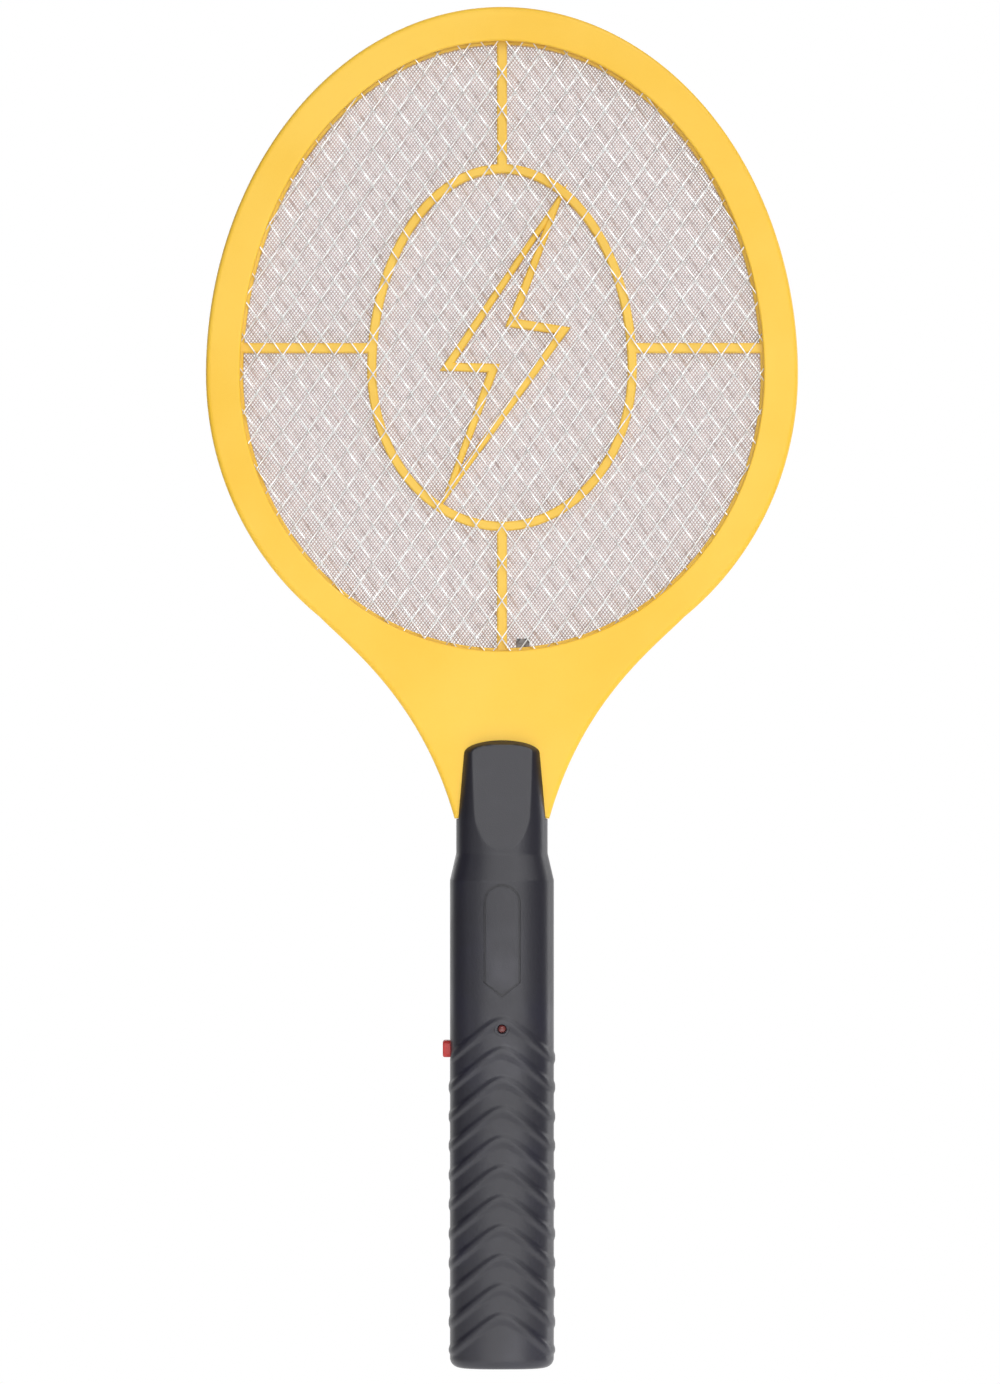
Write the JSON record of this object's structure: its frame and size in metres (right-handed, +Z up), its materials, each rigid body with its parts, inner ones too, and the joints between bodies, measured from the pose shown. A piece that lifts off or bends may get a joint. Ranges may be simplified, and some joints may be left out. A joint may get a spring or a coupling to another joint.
{
  "type": "electric fly swatter",
  "caption": "Racket-shaped electric fly swatter: an oval yellow head holding layered metal nets and ribbed spacers, on a black ribbed handle with a side push button, lamp and battery cover.",
  "frame": {"origin": "centre of the flat butt end of the handle", "axes": "+Z up the handle to the head, -Y the front face with the lamp, +X to the right seen from the front, so the push button points along -X"},
  "size_m": [0.2134, 0.0325, 0.4903],
  "materials": {
    "yellow_plastic": "satin moulded warm yellow",
    "charcoal_plastic": "fine grained charcoal black",
    "net_metal": "expanded bare metal",
    "plated_steel": "zinc or nickel plated",
    "brass": "bare strip",
    "red_plastic": "smooth dark red",
    "lamp_red": "clear tinted resin, unlit",
    "component_black": "moulded epoxy",
    "board_laminate": "paper laminate",
    "ferrite": "dull pressed ferrite",
    "winding_tape": "polyester tape",
    "film_capacitor": "dipped resin",
    "ceramic_blue": "dipped resin",
    "resistor_tan": "lacquer",
    "cell_sleeve": "printed metal sleeve without lettering",
    "tray_grey": "moulded",
    "wire_red": "soft insulation",
    "wire_black": "soft insulation"
  },
  "bodies": {
    "racket": {"front_frame": "yellow_plastic", "rear_frame": "yellow_plastic", "front_spacer": "yellow_plastic", "rear_spacer": "yellow_plastic", "front_net": "net_metal", "centre_net": "net_metal", "rear_net": "net_metal", "centre_net_terminal": "brass", "front_handle_shell": "charcoal_plastic", "rear_handle_shell": "charcoal_plastic", "handle_screw_neck_top": "plated_steel", "handle_screw_neck_low": "plated_steel", "handle_screw_left": "plated_steel", "handle_screw_right": "plated_steel", "frame_screw_left": "plated_steel", "frame_screw_right": "plated_steel", "board_screw_upper": "plated_steel", "board_screw_lower": "plated_steel", "switch_body": "component_black", "switch_spring": "plated_steel", "indicator_lamp": "lamp_red", "circuit_board": "board_laminate", "transformer_core": "ferrite", "transformer_winding": "winding_tape", "hv_capacitor": "film_capacitor", "diode_1": "component_black", "diode_2": "component_black", "diode_3": "component_black", "multiplier_capacitor_1": "ceramic_blue", "multiplier_capacitor_2": "ceramic_blue", "transistor": "component_black", "resistor_1": "resistor_tan", "resistor_2": "resistor_tan", "resistor_3": "resistor_tan", "battery_cell_left": "cell_sleeve", "battery_cell_right": "cell_sleeve", "battery_spring_lower": "plated_steel", "battery_spring_upper": "plated_steel", "battery_bridge_contact": "plated_steel", "battery_positive_contact": "plated_steel", "battery_negative_contact": "plated_steel", "battery_tray": "tray_grey", "wire_battery_positive": "wire_red", "wire_battery_negative": "wire_black", "wire_centre_net": "wire_red", "wire_front_net": "wire_black", "wire_rear_net": "wire_black"},
    "battery_cover": {"battery_cover": "charcoal_plastic"},
    "button": {"power_button": "red_plastic", "switch_plunger": "component_black"}
  },
  "joints": [
    {"name": "battery_cover_slide", "type": "slide", "parent": "racket", "child": "battery_cover", "axis": [0, 0, -1], "range_m": [0, 0.075]},
    {"name": "button_push", "type": "slide", "parent": "racket", "child": "button", "axis": [1, 0, 0], "range_m": [0, 0.0016], "stiffness_N_per_m": 900, "springref_m": -0.0006, "deforming": ["switch_spring"]}
  ]
}
